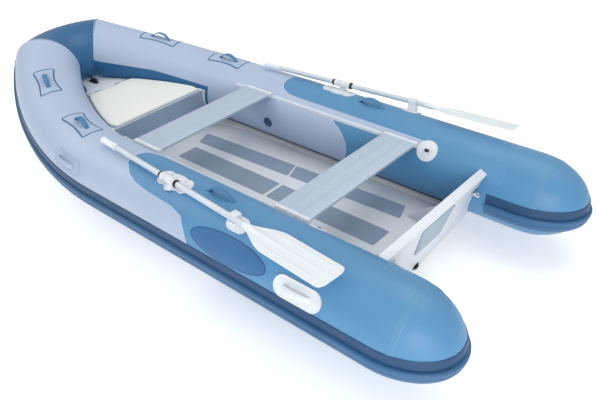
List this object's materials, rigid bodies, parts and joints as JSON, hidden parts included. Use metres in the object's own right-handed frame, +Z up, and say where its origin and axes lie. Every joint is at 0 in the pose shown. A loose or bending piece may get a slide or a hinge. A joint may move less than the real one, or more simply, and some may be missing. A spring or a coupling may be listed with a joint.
{
  "type": "inflatable dinghy",
  "caption": "Rigid-floored inflatable dinghy with metal hull and transom, tapered side tubes, sliding bench seats, bow locker and stowed oars.",
  "frame": {"origin": "on the ground under the middle of the boat's bounding box, at the keel guard's underside", "axes": "+X towards the bow, +Y to port, +Z up"},
  "size_m": [3.8252, 1.7391, 0.7282],
  "materials": {
    "bare_alloy": "bare",
    "black_plastic": "moulded",
    "blue_plastic": "moulded",
    "bow_fabric": "coated fabric, satin",
    "cream_vinyl": "vinyl over foam",
    "grey_pad": "ribbed anti-slip rubber",
    "grey_paint": "grey powder coat",
    "hull_paint": "white powder coat",
    "motor_pad": "ribbed",
    "navy_rubber": "moulded rubber",
    "patch_fabric": "glued fabric patches",
    "seat_alloy": "brushed and anodised",
    "steel": "stainless",
    "tube_fabric": "coated fabric, satin",
    "webbing": "woven webbing",
    "white_paint": "white powder coat",
    "white_plastic": "moulded"
  },
  "bodies": {
    "boat": {"hull_shell": "hull_paint", "keel_guard": "bare_alloy", "floor_deck": "white_paint", "floor_pads": "grey_pad", "bow_bulkhead": "grey_paint", "bow_deck": "white_paint", "deck_flanges": "white_paint", "bow_cleat": "black_plastic", "transom_panel": "white_paint", "transom_cap": "white_paint", "motor_pad_outer": "motor_pad", "motor_pad_inner": "motor_pad", "transom_knees": "white_paint", "towing_eyes": "steel", "drain_socket": "black_plastic", "tube_port": "tube_fabric", "tube_starboard": "tube_fabric", "tube_bow": "bow_fabric", "baffles": "tube_fabric", "stern_seam_bands": "patch_fabric", "strake_port": "navy_rubber", "strake_starboard": "navy_rubber", "strake_bow": "navy_rubber", "fender_port": "navy_rubber", "fender_starboard": "navy_rubber", "fender_bow": "navy_rubber", "joint_flap_port": "navy_rubber", "joint_flap_starboard": "navy_rubber", "seat_track_port": "white_plastic", "seat_track_starboard": "white_plastic", "handle_patches": "patch_fabric", "handle_loops": "webbing", "lift_handles_stern": "white_plastic", "lift_handles_bow": "patch_fabric", "emblem_patches": "patch_fabric", "transom_patches": "patch_fabric", "seat_stop_discs": "white_plastic", "oarlock_base_port": "white_plastic", "oarlock_base_starboard": "white_plastic", "oar_clips": "white_plastic", "valve_bodies": "blue_plastic", "lid_hinge": "steel"},
    "oarlock_port": {"oarlock_swivel_port": "white_plastic"},
    "oarlock_starboard": {"oarlock_swivel_starboard": "white_plastic"},
    "oar_port": {"oar_shaft_port": "white_plastic", "oar_grip_port": "white_plastic", "oar_blade_port": "white_plastic"},
    "oar_starboard": {"oar_shaft_starboard": "white_plastic", "oar_grip_starboard": "white_plastic", "oar_blade_starboard": "white_plastic"},
    "drain_plug": {"drain_plug": "black_plastic"},
    "valve_cap_port": {"valve_cap_port": "blue_plastic"},
    "valve_cap_starboard": {"valve_cap_starboard": "blue_plastic"},
    "valve_cap_bow": {"valve_cap_bow": "blue_plastic"},
    "front_seat": {"front_seat": "seat_alloy", "seat_slides_front": "white_plastic"},
    "rear_seat": {"rear_seat": "seat_alloy", "seat_slides_rear": "white_plastic"},
    "locker_lid": {"lid_panel": "white_paint", "lid_cushion": "cream_vinyl"}
  },
  "joints": [
    {"name": "oar_swing_port", "type": "hinge", "parent": "boat", "child": "oarlock_port", "pos_m": [-0.28525, 0.702, 0.552], "axis": [0, 0, -1], "range_deg": [0, 110]},
    {"name": "oar_feather_port", "type": "hinge", "parent": "oarlock_port", "child": "oar_port", "pos_m": [-0.28525, 0.702, 0.552], "axis": [-0.9968, 0.0795, 0], "range_deg": [0, 70]},
    {"name": "oar_swing_starboard", "type": "hinge", "parent": "boat", "child": "oarlock_starboard", "pos_m": [-0.28525, -0.702, 0.552], "axis": [0, 0, 1], "range_deg": [0, 110]},
    {"name": "oar_feather_starboard", "type": "hinge", "parent": "oarlock_starboard", "child": "oar_starboard", "pos_m": [-0.28525, -0.702, 0.552], "axis": [0.9968, 0.0795, 0], "range_deg": [-14, 56]},
    {"name": "front_seat_slide", "type": "slide", "parent": "boat", "child": "front_seat", "axis": [1, 0, 0], "range_m": [-0.3, 0]},
    {"name": "rear_seat_slide", "type": "slide", "parent": "boat", "child": "rear_seat", "axis": [1, 0, 0], "range_m": [0, 0.35]},
    {"name": "lid_hinge", "type": "hinge", "parent": "boat", "child": "locker_lid", "pos_m": [1.22875, 0, 0.3873], "axis": [0, 1, 0], "range_deg": [0, 50]},
    {"name": "drain_plug_pull", "type": "slide", "parent": "boat", "child": "drain_plug", "axis": [-0.9563, 0, -0.2924], "range_m": [0, 0.045]},
    {"name": "valve_cap_port_turn", "type": "hinge", "parent": "boat", "child": "valve_cap_port", "pos_m": [0.10475, 0.40484, 0.28883], "axis": [0, -0.9962, -0.0872], "continuous": true},
    {"name": "valve_cap_starboard_turn", "type": "hinge", "parent": "boat", "child": "valve_cap_starboard", "pos_m": [0.10475, -0.40484, 0.28883], "axis": [0, 0.9962, -0.0872], "continuous": true},
    {"name": "valve_cap_bow_turn", "type": "hinge", "parent": "boat", "child": "valve_cap_bow", "pos_m": [1.25026, 0.17426, 0.4278], "axis": [-0.4568, -0.8894, -0.0188], "continuous": true}
  ]
}
